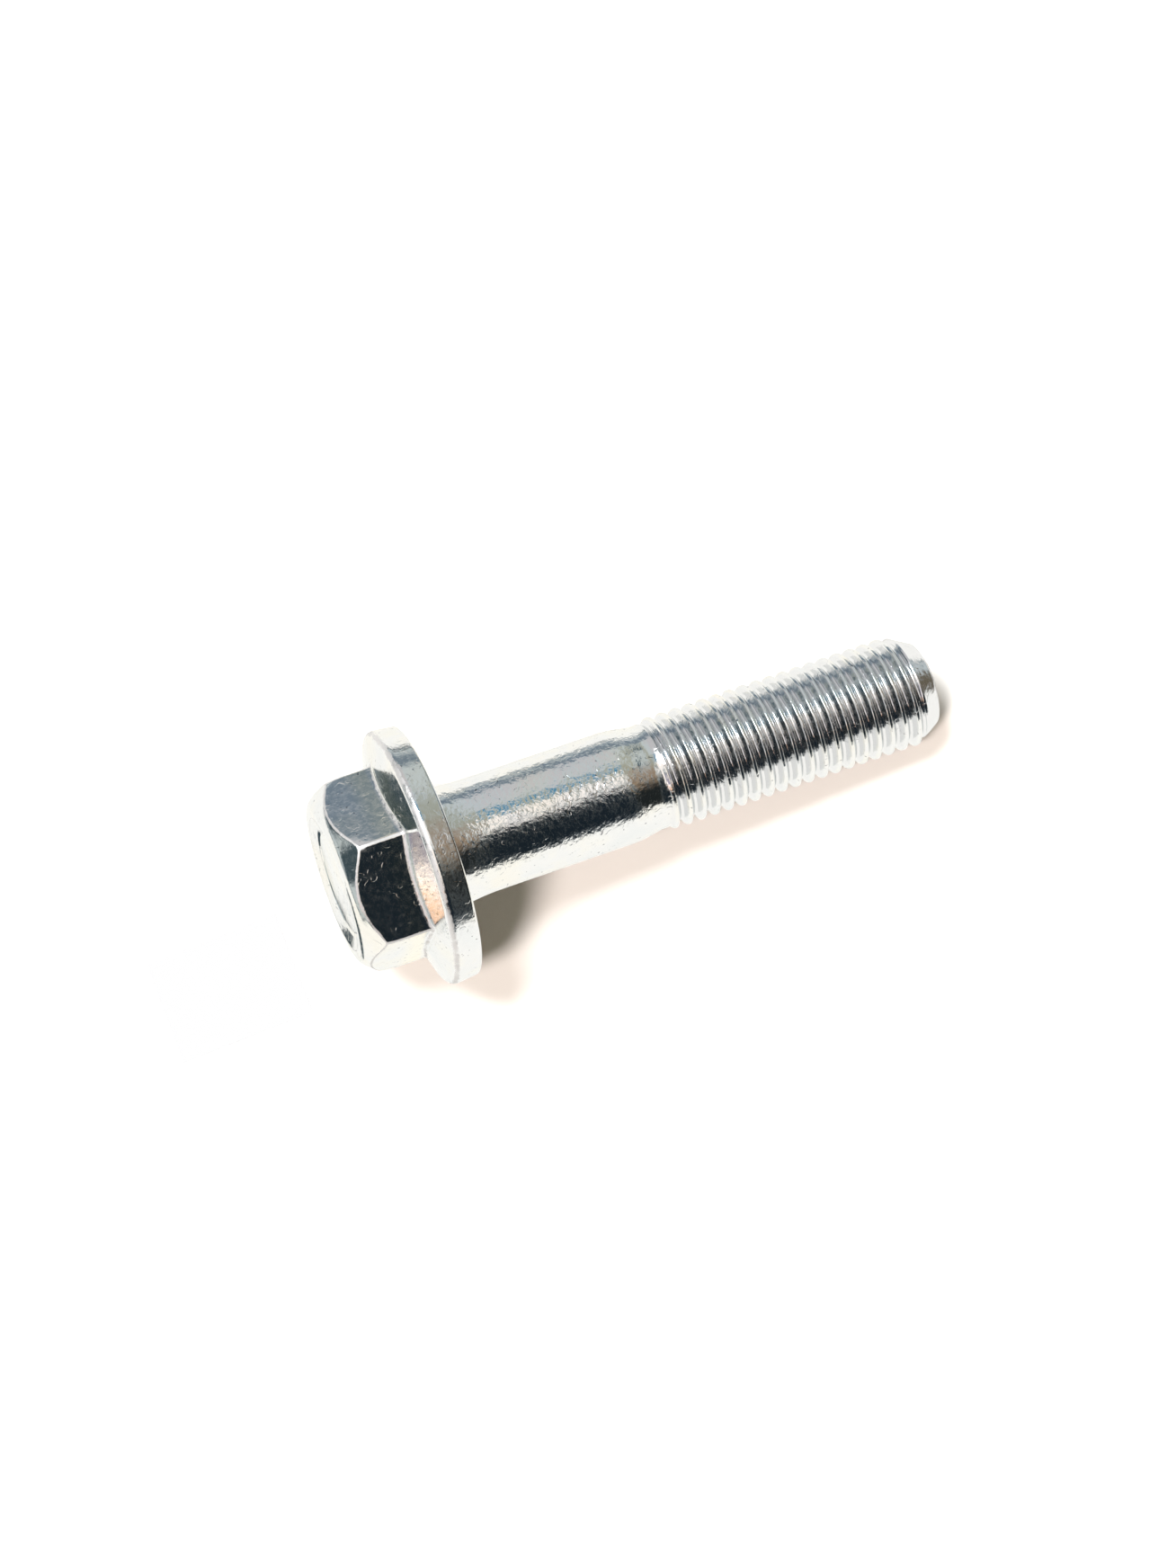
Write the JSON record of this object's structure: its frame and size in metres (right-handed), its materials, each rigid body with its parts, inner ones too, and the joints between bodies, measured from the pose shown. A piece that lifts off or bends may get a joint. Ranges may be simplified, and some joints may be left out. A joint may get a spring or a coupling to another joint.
{
  "type": "hex flange bolt",
  "caption": "Zinc-plated hex flange bolt with a dished head, conical flange, plain shank and fine metric thread, for clamping parts with a nut or tapped hole.",
  "frame": {"origin": "middle of the head's top, on which the bolt stands", "axes": "+Z along the bolt's axis from the head to the thread's tip; +X through a corner of the hexagon"},
  "size_m": [0.0224, 0.0224, 0.0541],
  "materials": {
    "zinc_plate": "bright blue-white zinc plating on forged and thread-rolled steel"
  },
  "bodies": {
    "root": {"bolt": "zinc_plate"}
  },
  "joints": []
}
